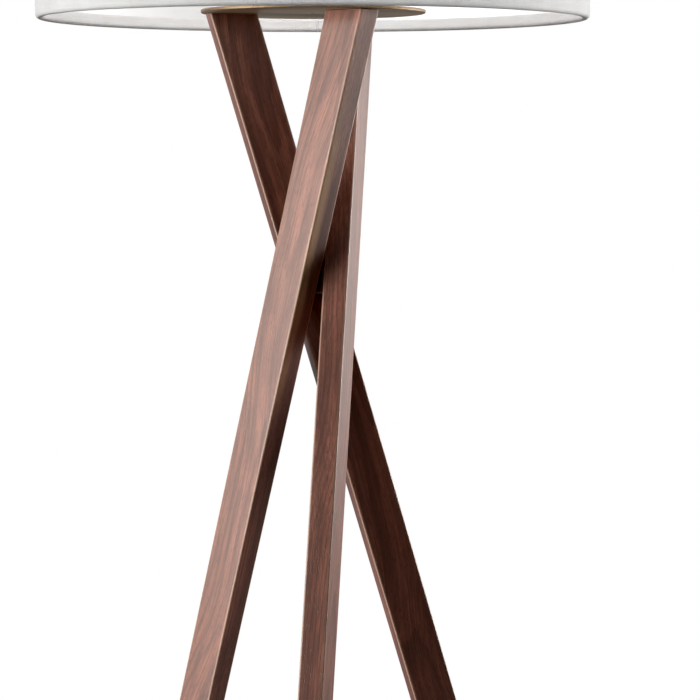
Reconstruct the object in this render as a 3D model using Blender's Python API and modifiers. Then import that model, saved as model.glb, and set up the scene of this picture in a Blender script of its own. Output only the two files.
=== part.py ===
"""Tripod floor lamp: three leaning walnut legs that pass round one another, a steel head plate, a lamp
socket with bulb and harp, and a linen drum shade.

Metres, +Z up. The origin is on the floor, at the middle of the lamp's whole footprint. The lamp's own
axis stands a little off it, because the three feet reach past the shade on two sides only.
Seen along +Y, leg A runs down to the left in front, leg B runs down to the right behind, and leg C
comes forward as it goes down.
"""

import math

import bmesh
import bpy
from mathutils import Euler, Matrix, Vector

# Where the lamp's axis stands, and the clearance between pieces that touch
AXIS_X, AXIS_Y = -0.0142, 0.0248
GAP = 0.0003

# Head plate, which is the datum for everything above and below it
PLATE_Z = 1.180
PLATE_RADIUS = 0.1041
PLATE_THICKNESS = 0.003
PLATE_TOP = PLATE_Z + PLATE_THICKNESS
NIPPLE_HOLE = 0.0052
CORD_HOLE = 0.0052
CORD_HOLE_X = 0.040

# Legs: level ends, a width that tapers slightly to the foot, and a lean of 0.3 along for each 1 down
LEG_WIDTH_TOP = 0.0428
LEG_WIDTH_FOOT = 0.0400
LEG_THICKNESS = 0.0232
LEG_TOP_RADIUS = 0.0764
LEG_SLOPE = 0.300
LEG_ROLL = math.radians(2.3)
LEG_B_TOP_ANGLE = math.radians(178.0)
LEG_TRAVEL_TURN = math.radians(-159.8)
LEG_EDGE = 0.0010
THIRD_TURN = math.radians(120.0)
LEG_NAMES = ("b", "a", "c")

# Foot glides and the screws into the leg tops
GLIDE_RADIUS = 0.009
GLIDE_THICKNESS = 0.003
NAIL_RADIUS = 0.0013
NAIL_TOP = 0.018
SCREW_PLACES = (-0.006, 0.015)
SCREW_RADIUS = 0.0020
SCREW_LENGTH = 0.028

# Hub block inside the crossing of the legs, and its dowels
HUB_FACE = 0.0138
HUB_HEIGHT = 0.040
DOWEL_RADIUS = 0.0030
DOWEL_INNER, DOWEL_OUTER = 0.0065, 0.0268

# Socket stack on the plate
NUT_FLATS = 0.016
NUT_HEIGHT = 0.004
NIPPLE_RADIUS, NIPPLE_BORE = 0.00485, 0.0032
NIPPLE_TOP = PLATE_TOP + 0.021
NUT_Z = PLATE_TOP + GAP
SADDLE_Z = NUT_Z + NUT_HEIGHT + GAP
SADDLE_THICKNESS = 0.0015
WASHER_Z = SADDLE_Z + SADDLE_THICKNESS + GAP
WASHER_THICKNESS = 0.001
SOCKET_Z = WASHER_Z + WASHER_THICKNESS + GAP
KEY_Z = SOCKET_Z + 0.027

# Harp
HARP_FOOT_X = 0.026
HARP_WIRE = 0.0016
HARP_WIDTH = 0.062
TANG_TOP = SADDLE_Z + 0.025
SLEEVE_Z = SADDLE_Z + 0.015
SLEEVE_LENGTH = 0.020
HARP_STRAIGHT_TOP = 1.245
HARP_WIDEST = 1.335
HARP_TOP = 1.458
HARP_SEAT = 1.462
STUD_RADIUS = 0.0031
STUD_TOP = 1.476

# Shade: a straight drum whose lower rim hangs just below the plate
SHADE_RADIUS = 0.254
SHADE_HEIGHT = 0.305
SHADE_BOTTOM = PLATE_Z - 0.0064
SHADE_TOP = SHADE_BOTTOM + SHADE_HEIGHT
CLOTH = 0.0009
HEM_BEND = 0.00345
HEM_LIP = 0.009
LINER = 0.0006
RIM_WIRE = 0.0018
RIM_RADIUS = 0.2501
SPIDER_Z = HARP_SEAT + GAP
SPIDER_THICKNESS = 0.0016
ARM_WIRE = 0.0015
ARM_ANGLES = tuple(math.radians(a) for a in (90.0, 210.0, 330.0))
SHADE_STEPS = 48

FINIAL_Z = SPIDER_Z + SPIDER_THICKNESS + GAP


# ---- helpers -------------------------------------------------------------------------------------

def clear_scene():
    for obj in list(bpy.data.objects):
        bpy.data.objects.remove(obj, do_unlink=True)


def new_collection(name, hidden=False):
    made = bpy.data.collections.new(name)
    made.hide_render = hidden
    bpy.context.scene.collection.children.link(made)
    return made


clear_scene()
LAMP = new_collection("tripod_floor_lamp")
CUTTERS = new_collection("cutters", hidden=True)
AXIS = bpy.data.objects.new("lamp_axis", None)
AXIS.location = (AXIS_X, AXIS_Y, 0.0)
LAMP.objects.link(AXIS)


def place(obj, collection=LAMP, at=(0.0, 0.0, 0.0), turn=(0.0, 0.0, 0.0)):
    """Links an object into a collection, at a place and turn measured from the lamp's axis."""
    for other in list(obj.users_collection):
        other.objects.unlink(obj)
    collection.objects.link(obj)
    obj.parent = AXIS
    obj.location = at
    obj.rotation_euler = turn
    if collection is CUTTERS:
        obj.hide_render = True
        obj.display_type = "WIRE"
    return obj


def finish(obj, colour, roughness, metallic=0.0):
    """Gives an object its own Principled material."""
    material = bpy.data.materials.new(obj.name)
    material.use_nodes = True
    shader = material.node_tree.nodes["Principled BSDF"]
    shader.inputs["Base Color"].default_value = (*colour, 1.0)
    shader.inputs["Roughness"].default_value = roughness
    shader.inputs["Metallic"].default_value = metallic
    obj.data.materials.clear()
    obj.data.materials.append(material)
    return obj


WALNUT = ((0.20, 0.095, 0.060), 0.55)
NICKEL = ((0.50, 0.47, 0.43), 0.35, 1.0)
BRASS = ((0.72, 0.53, 0.25), 0.30, 1.0)
STEEL = ((0.58, 0.58, 0.60), 0.35, 1.0)
BLACK = ((0.03, 0.03, 0.03), 0.45)


def mesh_object(name, bm):
    mesh = bpy.data.meshes.new(name)
    bm.to_mesh(mesh)
    bm.free()
    return bpy.data.objects.new(name, mesh)


def turned(name, profile, steps, closed=False):
    """A turned solid: (radius, height) points down the outer side, swept once round local Z."""
    bm = bmesh.new()
    points = [bm.verts.new((radius, 0.0, height)) for radius, height in profile]
    for first, second in zip(points, points[1:]):
        bm.edges.new((first, second))
    if closed:
        bm.edges.new((points[-1], points[0]))
    obj = mesh_object(name, bm)
    screw = obj.modifiers.new("turn", "SCREW")
    screw.axis = "Z"
    screw.steps = screw.render_steps = steps
    screw.use_merge_vertices = True
    screw.merge_threshold = 0.00001
    screw.use_smooth_shade = True
    return obj


def ring_profile(inner, outer, low, high):
    return [(outer, high), (outer, low), (inner, low), (inner, high)]


def rod(name, radius, low, high, steps=16):
    """A round bar along local Z between two heights."""
    bm = bmesh.new()
    bmesh.ops.create_cone(bm, cap_ends=True, segments=steps, radius1=radius, radius2=radius,
                          depth=high - low, matrix=Matrix.Translation((0, 0, (low + high) / 2)))
    obj = mesh_object(name, bm)
    obj.data.shade_smooth()
    obj.data.set_sharp_from_angle(angle=math.radians(40))
    return obj


def box(name, size, centre=(0.0, 0.0, 0.0)):
    bm = bmesh.new()
    bmesh.ops.create_cube(bm, size=1.0, matrix=Matrix.Translation(centre) @ Matrix.Diagonal((*size, 1)))
    return mesh_object(name, bm)


def wire(name, points, radius):
    """A round wire through a list of points, made a mesh so that it can be joined to others."""
    curve = bpy.data.curves.new(name + "_path", "CURVE")
    curve.dimensions = "3D"
    curve.bevel_depth = radius
    curve.bevel_resolution = 2
    curve.use_fill_caps = True
    spline = curve.splines.new("POLY")
    spline.points.add(len(points) - 1)
    for place_on, point in zip(spline.points, points):
        place_on.co = (*point, 1.0)
    path = bpy.data.objects.new(name + "_path", curve)
    bpy.context.scene.collection.objects.link(path)
    graph = bpy.context.evaluated_depsgraph_get()
    mesh = bpy.data.meshes.new_from_object(path.evaluated_get(graph))
    bm = bmesh.new()
    bm.from_mesh(mesh)
    bmesh.ops.remove_doubles(bm, verts=bm.verts, dist=0.00001)
    bm.to_mesh(mesh)
    bm.free()
    obj = bpy.data.objects.new(name, mesh)
    obj.matrix_world = path.matrix_world
    bpy.data.objects.remove(path, do_unlink=True)
    return obj


def boolean(obj, other, operation):
    step = obj.modifiers.new(operation.lower(), "BOOLEAN")
    step.operation = operation
    step.object = other
    step.solver = "EXACT"


def polar(radius, angle, height=0.0):
    return Vector((radius * math.cos(angle), radius * math.sin(angle), height))


# ---- legs ----------------------------------------------------------------------------------------

FOOT_Z = GLIDE_THICKNESS + GAP
LEG_TOP_Z = PLATE_Z - GAP
# Where a leg's centre line passes nearest the axis
CROSSING_Z = PLATE_Z + LEG_TOP_RADIUS * math.cos(LEG_TRAVEL_TURN) / LEG_SLOPE


def leg_angles(number):
    """The angle at which a leg meets the plate, and the direction it travels as it goes down."""
    top = LEG_B_TOP_ANGLE + number * THIRD_TURN
    return top, top + LEG_TRAVEL_TURN


def leg_centre(number, height):
    top, travel = leg_angles(number)
    return polar(LEG_TOP_RADIUS, top, height) + polar(LEG_SLOPE * (PLATE_Z - height), travel)


def leg_corner(number, across, through, height):
    """One corner of a level end: half the width across and half the thickness through, carried along
    the leg until it reaches the end's height."""
    _, travel = leg_angles(number)
    down = (polar(LEG_SLOPE, travel) - Vector((0, 0, 1))).normalized()
    flat = down.cross(Vector((0, 0, 1))).normalized()
    upright = flat.cross(down)
    turn = Matrix.Rotation(LEG_ROLL, 3, down)
    width = LEG_WIDTH_TOP if height > CROSSING_Z else LEG_WIDTH_FOOT
    offset = turn @ (upright * across * width / 2 + flat * through * LEG_THICKNESS / 2)
    return leg_centre(number, height) + offset - down * (offset.z / down.z)


def make_leg(number):
    """A walnut board: a cube whose corners are moved to the leg's level ends, then arrises eased."""
    bm = bmesh.new()
    bmesh.ops.create_cube(bm, size=2.0)
    for vert in bm.verts:
        x, y, z = vert.co
        vert.co = leg_corner(number, x, y, LEG_TOP_Z if z > 0 else FOOT_Z)
    bmesh.ops.recalc_face_normals(bm, faces=bm.faces)
    leg = place(mesh_object("leg_" + LEG_NAMES[number], bm))
    finish(leg, *WALNUT)
    ease = leg.modifiers.new("eased_edges", "BEVEL")
    ease.width = LEG_EDGE
    ease.segments = 1
    ease.limit_method = "ANGLE"
    return leg


def make_leg_hardware(number, leg):
    """The glide nailed under the foot, and the two screws down through the plate."""
    name = LEG_NAMES[number]
    foot = leg_centre(number, FOOT_Z)
    glide_shape = [
        (0.0, NAIL_TOP), (NAIL_RADIUS, NAIL_TOP - 0.0015), (NAIL_RADIUS, GLIDE_THICKNESS),
        (GLIDE_RADIUS, GLIDE_THICKNESS), (GLIDE_RADIUS, 0.0007), (GLIDE_RADIUS - 0.0007, 0.0), (0.0, 0.0),
    ]
    glide = place(turned("foot_glide_" + name, glide_shape, 20), at=(foot.x, foot.y, 0.0))
    finish(glide, (0.06, 0.05, 0.045), 0.7)
    nail_hole = rod("nail_hole_" + name, NAIL_RADIUS + 0.0004, -0.01, NAIL_TOP + 0.001, 12)
    boolean(leg, place(nail_hole, CUTTERS, at=(foot.x, foot.y, 0.0)), "DIFFERENCE")

    _, travel = leg_angles(number)
    top = leg_centre(number, PLATE_Z)
    screw_shape = [
        (0.0, 0.0029), (0.0028, 0.0026), (0.0042, 0.0014), (0.0042, GAP), (SCREW_RADIUS, GAP),
        (SCREW_RADIUS, 0.004 - SCREW_LENGTH), (0.0, -SCREW_LENGTH),
    ]
    for count, along in enumerate(SCREW_PLACES, start=1):
        spot = top + polar(along, travel)
        screw = turned(f"leg_screw_{name}{count}", screw_shape, 12)
        finish(place(screw, at=(spot.x, spot.y, PLATE_TOP)), *STEEL)
        pilot = rod(f"pilot_hole_{name}{count}", SCREW_RADIUS + 0.0004, -SCREW_LENGTH - 0.001, 0.02, 12)
        place(pilot, CUTTERS, at=(spot.x, spot.y, PLATE_TOP))
        boolean(leg, pilot, "DIFFERENCE")
        boolean(PLATE, pilot, "DIFFERENCE")


# ---- head plate and hub --------------------------------------------------------------------------

def make_plate():
    edge = 0.0006
    shape = [
        (PLATE_RADIUS, PLATE_THICKNESS), (PLATE_RADIUS, edge), (PLATE_RADIUS - edge, 0.0),
        (NIPPLE_HOLE, 0.0), (NIPPLE_HOLE, PLATE_THICKNESS),
    ]
    plate = place(turned("head_plate", shape, 64, closed=True), at=(0, 0, PLATE_Z))
    finish(plate, *NICKEL)
    hole = rod("cord_hole", CORD_HOLE, -0.01, 0.01, 16)
    boolean(plate, place(hole, CUTTERS, at=(CORD_HOLE_X, 0, PLATE_Z)), "DIFFERENCE")
    return plate


def make_cord_bushing():
    """A snap-in bushing with a flange above the plate and a barbed lip below it."""
    over, under = PLATE_THICKNESS + GAP, -GAP
    shape = [
        (0.0070, over + 0.0015), (0.0080, over + 0.0008), (0.0080, over), (0.0049, over),
        (0.0049, under), (0.0062, under), (0.0055, under - 0.0018), (0.0033, under - 0.0018),
        (0.0033, over + 0.0015),
    ]
    bushing = place(turned("cord_bushing", shape, 16, closed=True), at=(CORD_HOLE_X, 0, PLATE_Z))
    finish(bushing, *BLACK)


def make_hub(legs):
    """A three-sided block between the legs' inner faces, with a dowel into each leg."""
    bm = bmesh.new()
    bmesh.ops.create_cone(bm, cap_ends=True, segments=3, radius1=2 * HUB_FACE, radius2=2 * HUB_FACE,
                          depth=HUB_HEIGHT)
    facing = leg_centre(0, CROSSING_Z)
    toward_b = math.atan2(facing.y, facing.x)
    # The cone's first corner points along +Y, and each face looks away from a corner
    block_turn = toward_b + math.pi - math.pi / 2
    hub = place(mesh_object("hub_block", bm), at=(0, 0, CROSSING_Z), turn=(0, 0, block_turn))
    finish(hub, *WALNUT)
    ease = hub.modifiers.new("blunt_corners", "BEVEL")
    ease.width = 0.002
    ease.segments = 1
    ease.limit_method = "ANGLE"
    for number, leg in enumerate(legs):
        turn = (0.0, math.pi / 2, toward_b + number * THIRD_TURN)
        dowel = rod("hub_dowel_" + LEG_NAMES[number], DOWEL_RADIUS, DOWEL_INNER, DOWEL_OUTER, 16)
        finish(place(dowel, at=(0, 0, CROSSING_Z), turn=turn), (0.62, 0.45, 0.28), 0.6)
        bore = rod("dowel_bore_" + LEG_NAMES[number], DOWEL_RADIUS + GAP, DOWEL_INNER - GAP,
                   DOWEL_OUTER + GAP, 16)
        place(bore, CUTTERS, at=(0, 0, CROSSING_Z), turn=turn)
        boolean(hub, bore, "DIFFERENCE")
        boolean(leg, bore, "DIFFERENCE")


# ---- socket stack --------------------------------------------------------------------------------

def make_nipple_and_nuts():
    low = PLATE_Z + GAP
    nipple = turned("threaded_nipple", ring_profile(NIPPLE_BORE, NIPPLE_RADIUS, low, NIPPLE_TOP), 16, True)
    finish(place(nipple), *BRASS)

    bm = bmesh.new()
    corner = NUT_FLATS / 2 / math.cos(math.radians(30))
    bmesh.ops.create_cone(bm, cap_ends=True, segments=6, radius1=corner, radius2=corner, depth=NUT_HEIGHT)
    nut = finish(place(mesh_object("hex_nut", bm), at=(0, 0, NUT_Z + NUT_HEIGHT / 2)), *BRASS)
    hole = rod("nut_hole", NIPPLE_HOLE, -0.01, 0.01, 16)
    boolean(nut, place(hole, CUTTERS, at=(0, 0, NUT_Z)), "DIFFERENCE")

    washer_shape = ring_profile(NIPPLE_HOLE, 0.0090, 0.0, WASHER_THICKNESS)
    washer = turned("lock_washer", washer_shape, 16, closed=True)
    finish(place(washer, at=(0, 0, WASHER_Z)), *STEEL)


def make_socket():
    """The metal cap and shell, the card sleeve that insulates them, and the moulded body inside."""
    cap_shape = [
        (0.0170, 0.022), (0.0170, 0.014), (0.0145, 0.0095), (0.0085, 0.0072), (0.0075, 0.0060),
        (0.0075, 0.0), (NIPPLE_HOLE, 0.0), (NIPPLE_HOLE, 0.0080), (0.0139, 0.0104), (0.0162, 0.0146),
        (0.0162, 0.022),
    ]
    cap = turned("socket_cap", cap_shape, 24, closed=True)
    finish(place(cap, at=(0, 0, SOCKET_Z)), *BRASS)

    shell_shape = [
        (0.0170, 0.062), (0.0170, 0.0608), (0.0164, 0.0600), (0.0164, 0.0235), (0.0159, 0.0224),
        (0.0159, 0.0152), (0.0151, 0.0152), (0.0151, 0.062),
    ]
    shell = turned("socket_shell", shell_shape, 24, closed=True)
    finish(place(shell, at=(0, 0, SOCKET_Z)), *BRASS)

    sleeve = turned("insulating_sleeve", ring_profile(0.0142, 0.0148, 0.0154, 0.060), 24, closed=True)
    finish(place(sleeve, at=(0, 0, SOCKET_Z)), (0.32, 0.22, 0.13), 0.9)

    body_shape = [(0.0, 0.031), (0.0138, 0.031), (0.0138, 0.017), (0.0120, 0.015), (0.0, 0.015)]
    body = turned("socket_body", body_shape, 24)
    finish(place(body, at=(0, 0, SOCKET_Z)), *BLACK)

    key_hole = rod("key_hole", 0.0021, 0.006, 0.030, 12)
    place(key_hole, CUTTERS, at=(0, 0, KEY_Z), turn=(math.pi / 2, 0, 0))
    for pierced in (shell, sleeve, body):
        boolean(pierced, key_hole, "DIFFERENCE")

    screw_shell = turned("screw_shell", ring_profile(0.0134, 0.0139, 0.0313, 0.057), 24, closed=True)
    finish(place(screw_shell, at=(0, 0, SOCKET_Z)), *BRASS)

    contact_shape = [(0.0, 0.0325), (0.0022, 0.0322), (0.0040, 0.0315), (0.0040, 0.0313), (0.0, 0.0313)]
    contact = turned("centre_contact", contact_shape, 16)
    finish(place(contact, at=(0, 0, SOCKET_Z)), *BRASS)


def make_switch_key():
    """A ribbed knob on a shaft that reaches through the shell into the socket body."""
    shape = [
        (0.0, 0.0310), (0.0042, 0.0310), (0.0052, 0.0298), (0.0058, 0.0190), (0.0052, 0.0180),
        (0.0016, 0.0180), (0.0016, 0.0065), (0.0, 0.0065),
    ]
    key = turned("switch_key", shape, 12)
    finish(place(key, at=(0, 0, KEY_Z), turn=(math.pi / 2, 0, 0)), *BLACK)


def make_bulb():
    """A household bulb: round glass on a tapering neck, with a screw base."""
    glass_radius, glass_centre, wall = 0.030, 0.110, 0.0008

    def outline(offset):
        ball = glass_radius - offset
        points = []
        for degrees in (90, 68, 46, 24, 2, -18, -36):
            angle = math.radians(degrees)
            points.append((ball * math.cos(angle), glass_centre + ball * math.sin(angle)))
        points[0] = (0.0, points[0][1])
        neck = ((0.0190, 0.080), (0.0148, 0.071), (0.0125, 0.062), (0.0121, 0.060), (0.0121, 0.045))
        return points + [(radius - offset, height) for radius, height in neck]

    glass_shape = outline(0.0) + outline(wall)[::-1]
    glass = turned("bulb_glass", glass_shape, 24)
    finish(place(glass, at=(0, 0, SOCKET_Z)), (0.92, 0.91, 0.88), 0.25)

    base_shape = [
        (0.0130, 0.0590), (0.0130, 0.0380), (0.0070, 0.0355), (0.0066, 0.0362), (0.0125, 0.0386),
        (0.0125, 0.0590),
    ]
    base = turned("bulb_base", base_shape, 24, closed=True)
    finish(place(base, at=(0, 0, SOCKET_Z)), (0.75, 0.75, 0.76), 0.3, 1.0)

    insulator_shape = [(0.0, 0.0380), (0.0062, 0.0370), (0.0062, 0.0352), (0.0042, 0.0344), (0.0, 0.0344)]
    insulator = turned("bulb_insulator", insulator_shape, 16)
    finish(place(insulator, at=(0, 0, SOCKET_Z)), *BLACK)

    tip = turned("bulb_tip", [(0.0, 0.0341), (0.0032, 0.0341), (0.0022, 0.0331), (0.0, 0.0328)], 16)
    finish(place(tip, at=(0, 0, SOCKET_Z)), (0.62, 0.62, 0.62), 0.35, 1.0)


# ---- harp ----------------------------------------------------------------------------------------

def make_saddle():
    """A bent strip under the socket whose two upturned ends carry round tangs."""
    half_width, arm_top = 0.006, 0.0145
    route = [
        (-HARP_FOOT_X, arm_top), (-HARP_FOOT_X, 0.006), (-HARP_FOOT_X + 0.005, 0.0),
        (HARP_FOOT_X - 0.005, 0.0), (HARP_FOOT_X, 0.006), (HARP_FOOT_X, arm_top),
    ]
    bm = bmesh.new()
    rows = [[bm.verts.new((x, side * half_width, z)) for side in (-1, 1)] for x, z in route]
    for (a, b), (c, d) in zip(rows, rows[1:]):
        bm.faces.new((a, c, d, b))
    middle = SADDLE_Z + SADDLE_THICKNESS / 2
    saddle = finish(place(mesh_object("harp_saddle", bm), at=(0, 0, middle)), *BRASS)
    strip = saddle.modifiers.new("strip", "SOLIDIFY")
    strip.thickness = SADDLE_THICKNESS
    strip.offset = 0.0
    strip.use_even_offset = True
    for side in (-1, 1):
        tang = rod(f"tang_{side}", HARP_WIRE, arm_top - 0.004, TANG_TOP - middle, 12)
        boolean(saddle, place(tang, CUTTERS, at=(side * HARP_FOOT_X, 0, middle)), "UNION")
    hole = rod("saddle_hole", NIPPLE_HOLE, -0.01, 0.01, 16)
    boolean(saddle, place(hole, CUTTERS, at=(0, 0, middle)), "DIFFERENCE")


def harp_route():
    """Straight out of the sleeve, an easy sweep out to the widest place, then half an ellipse over
    the bulb and the same again down the other side."""
    sweep, arch = 7, 14
    side = [(HARP_FOOT_X, TANG_TOP + GAP)]
    for count in range(sweep):
        share = count / sweep
        ease = share * share * (3 - 2 * share)
        side.append((HARP_FOOT_X + ease * (HARP_WIDTH - HARP_FOOT_X),
                     HARP_STRAIGHT_TOP + share * (HARP_WIDEST - HARP_STRAIGHT_TOP)))
    over = []
    for count in range(arch + 1):
        angle = math.pi * count / arch
        over.append((HARP_WIDTH * math.cos(angle), HARP_WIDEST + (HARP_TOP - HARP_WIDEST) * math.sin(angle)))
    points = side + over + [(-x, z) for x, z in reversed(side)]
    return [(x, 0.0, z) for x, z in points]


def make_harp():
    harp = finish(place(wire("harp", harp_route(), HARP_WIRE)), *BRASS)
    seat_shape = [
        (0.0, STUD_TOP), (STUD_RADIUS - 0.0006, STUD_TOP), (STUD_RADIUS, STUD_TOP - 0.0008),
        (STUD_RADIUS, HARP_SEAT), (0.0075, HARP_SEAT), (0.0075, HARP_SEAT - 0.0042),
        (0.0066, HARP_SEAT - 0.0052), (0.0, HARP_SEAT - 0.0052),
    ]
    seat = turned("harp_seat", seat_shape, 16)
    boolean(harp, place(seat, CUTTERS), "UNION")
    sleeve_shape = [
        (0.0030, SLEEVE_LENGTH), (0.0033, SLEEVE_LENGTH - 0.001), (0.0033, 0.001), (0.0030, 0.0),
        (0.0020, 0.0), (0.0020, SLEEVE_LENGTH),
    ]
    for side, where in ((-1, "left"), (1, "right")):
        sleeve = turned("harp_sleeve_" + where, sleeve_shape, 16, closed=True)
        finish(place(sleeve, at=(side * HARP_FOOT_X, 0, SLEEVE_Z + GAP)), *BRASS)


def make_finial():
    """A turned knob with a threaded hole, which clamps the shade down on the harp."""
    bore, bore_top = STUD_RADIUS + GAP, STUD_TOP - FINIAL_Z + 0.001
    shape = [
        (0.0, 0.0250), (0.0050, 0.0240), (0.0086, 0.0205), (0.0096, 0.0160), (0.0086, 0.0118),
        (0.0058, 0.0085), (0.0058, 0.0050), (0.0085, 0.0030), (0.0085, 0.0), (bore, 0.0),
        (bore, bore_top), (0.0, bore_top),
    ]
    finial = turned("finial", shape, 20)
    finish(place(finial, at=(0, 0, FINIAL_Z)), *NICKEL)


# ---- shade ---------------------------------------------------------------------------------------

def rim_arc(radius, centre_z, below):
    """Points round a rim's bend from the outer wall to the lip, through the bottom or the top."""
    centre_r = SHADE_RADIUS - HEM_BEND
    way = -1.0 if below else 1.0
    angles = [math.pi * step / 4 for step in range(5)]
    return [(centre_r + radius * math.cos(a), centre_z + way * radius * math.sin(a)) for a in angles]


def make_shade_cover():
    """Linen drum whose edges turn round the rim wires and up inside, as one folded wall."""
    low, high = SHADE_BOTTOM + HEM_BEND, SHADE_TOP - HEM_BEND
    lip = SHADE_RADIUS - 2 * HEM_BEND
    shape = rim_arc(HEM_BEND, low, below=True)
    shape += [(lip, low + HEM_LIP), (lip + CLOTH, low + HEM_LIP)]
    shape += rim_arc(HEM_BEND - CLOTH, low, below=True)[::-1]
    shape += rim_arc(HEM_BEND - CLOTH, high, below=False)
    shape += [(lip + CLOTH, high - HEM_LIP), (lip, high - HEM_LIP)]
    shape += rim_arc(HEM_BEND, high, below=False)[::-1]
    cover = turned("shade_cover", shape, SHADE_STEPS, closed=True)
    finish(place(cover), (0.88, 0.86, 0.83), 0.9)
    # The inner lip is notched where each spider arm passes to the rim wire
    for count, angle in enumerate(ARM_ANGLES, start=1):
        notch = box(f"arm_notch_{count}", (0.0030, 0.0050, 0.0110), (lip + 0.0003, 0, high - 0.0050))
        boolean(cover, place(notch, CUTTERS, turn=(0, 0, angle)), "DIFFERENCE")


def make_shade_liner():
    outer = SHADE_RADIUS - CLOTH - GAP
    low, high = SHADE_BOTTOM + 0.0045, SHADE_TOP - 0.0045
    liner = turned("shade_liner", ring_profile(outer - LINER, outer, low, high), SHADE_STEPS, closed=True)
    finish(place(liner), (0.93, 0.93, 0.92), 0.6)


def rim_wire(name, height):
    """A ring of round wire: a small circle turned about the lamp's axis."""
    sides = 8
    circle = []
    for count in range(sides):
        angle = -2 * math.pi * count / sides
        circle.append((RIM_RADIUS + RIM_WIRE * math.cos(angle), height + RIM_WIRE * math.sin(angle)))
    return turned(name, circle, SHADE_STEPS, closed=True)


def make_shade_wires():
    """The bottom and top rings, and the spider: a drilled washer held by three arms off the top ring."""
    bottom = rim_wire("shade_bottom_ring", SHADE_BOTTOM + HEM_BEND)
    finish(place(bottom), *STEEL)

    top_z = SHADE_TOP - HEM_BEND
    finish(place(rim_wire("shade_top_ring", top_z)), *STEEL)

    washer_edge = 0.0140
    washer_shape = ring_profile(STUD_RADIUS + 0.0005, washer_edge, SPIDER_Z, SPIDER_Z + SPIDER_THICKNESS)
    finish(place(turned("spider_washer", washer_shape, 24, closed=True)), *STEEL)

    arm_z = SPIDER_Z + SPIDER_THICKNESS / 2
    start, bend = (washer_edge + GAP, 0, arm_z), (0.2260, 0, arm_z)
    knee, ring_centre = Vector((0.2400, 0, arm_z + 0.0045)), Vector((RIM_RADIUS, 0, top_z))
    end = ring_centre - (ring_centre - knee).normalized() * (RIM_WIRE + GAP + 0.0001)
    for letter, angle in zip("abc", ARM_ANGLES):
        arm = wire(f"spider_arm_{letter}", [start, bend, knee, end], ARM_WIRE)
        finish(place(arm, turn=(0, 0, angle)), *STEEL)


PLATE = make_plate()
LEGS = [make_leg(number) for number in range(3)]
for index, made_leg in enumerate(LEGS):
    make_leg_hardware(index, made_leg)
make_hub(LEGS)
make_cord_bushing()
make_nipple_and_nuts()
make_socket()
make_switch_key()
make_bulb()
make_saddle()
make_harp()
make_finial()
make_shade_cover()
make_shade_liner()
make_shade_wires()
bpy.context.view_layer.update()
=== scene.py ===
import math

import bpy
import numpy as np
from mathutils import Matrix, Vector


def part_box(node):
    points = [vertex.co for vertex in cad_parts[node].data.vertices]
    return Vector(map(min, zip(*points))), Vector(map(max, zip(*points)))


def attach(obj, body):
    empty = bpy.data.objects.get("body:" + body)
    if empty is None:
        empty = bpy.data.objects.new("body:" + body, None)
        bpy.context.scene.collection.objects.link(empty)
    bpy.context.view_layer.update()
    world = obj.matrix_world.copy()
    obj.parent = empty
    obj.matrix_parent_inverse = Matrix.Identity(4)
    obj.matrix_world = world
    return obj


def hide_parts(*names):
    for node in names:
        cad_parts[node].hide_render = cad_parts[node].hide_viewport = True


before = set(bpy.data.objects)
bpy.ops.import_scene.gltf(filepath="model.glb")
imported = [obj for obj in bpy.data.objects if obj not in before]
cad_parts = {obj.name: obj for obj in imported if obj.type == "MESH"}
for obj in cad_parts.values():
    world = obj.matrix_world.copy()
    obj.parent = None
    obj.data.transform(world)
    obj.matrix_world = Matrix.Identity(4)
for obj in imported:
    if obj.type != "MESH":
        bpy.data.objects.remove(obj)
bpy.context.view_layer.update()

# ---- camera ----
# A camera on a stand 1.6 m in front of the lamp and a little below its head plate, tipped down so
# that the frame holds the lower edge of the shade, the plate and the upper half of the legs.

plate_low, plate_high = (np.array(corner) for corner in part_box("head_plate"))
axis_x, axis_y = (plate_low[:2] + plate_high[:2]) / 2
plate_under, plate_top = plate_low[2], plate_high[2]
axis_foot = (axis_x, axis_y, 0.0)

camera_aside, camera_ahead, camera_under, camera_tilt = 0.0339, 1.604, 0.0833, 81.775
camera_data = bpy.data.cameras.new("studio_camera")
camera_data.sensor_width = 36.0
camera_data.lens = 87.38
camera_data.clip_end = 100.0
camera = bpy.data.objects.new("studio_camera", camera_data)
camera.location = (axis_x + camera_aside, axis_y - camera_ahead, plate_under - camera_under)
camera.rotation_euler = (math.radians(camera_tilt), 0.0, 0.0)
bpy.context.scene.collection.objects.link(camera)
bpy.context.scene.camera = camera


# ---- studio ----
# A white room with a pale floor that fades out, a tall softbox on each side of the lamp and a high one
# in front. Two more lights reach only the shade's cover, which the tall softboxes are kept off, and a
# small one inside the shade stands for the light that real cloth lets through.

def add_node(tree, kind, inputs=None, **settings):
    """Adds a shader node. inputs gives each socket, by name or number, a value or another's output."""
    made = tree.nodes.new("ShaderNode" + kind)
    for key, value in settings.items():
        setattr(made, key, value)
    for key, value in (inputs or {}).items():
        if isinstance(value, bpy.types.NodeSocket):
            tree.links.new(value, made.inputs[key])
        else:
            made.inputs[key].default_value = value
    return made


def maths(tree, operation, first, second=0.0, third=0.0, clamp=False):
    """One step of arithmetic on two or three sockets or numbers."""
    inputs = {0: first, 1: second, 2: third}
    return add_node(tree, "Math", inputs, operation=operation, use_clamp=clamp).outputs[0]


def vectors(tree, operation, first, second=(0.0, 0.0, 0.0)):
    """One step of arithmetic on two vectors, or the length of one."""
    made = add_node(tree, "VectorMath", {0: first, 1: second}, operation=operation)
    return made.outputs["Value" if operation == "LENGTH" else "Vector"]


def ramp(tree, value, low, high, from_=0.0, to=1.0):
    """A smooth step: from_ while value is under low, to once it is over high."""
    inputs = {"Value": value, "From Min": low, "From Max": high, "To Min": from_, "To Max": to}
    return add_node(tree, "MapRange", inputs, interpolation_type="SMOOTHSTEP").outputs["Result"]


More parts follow.
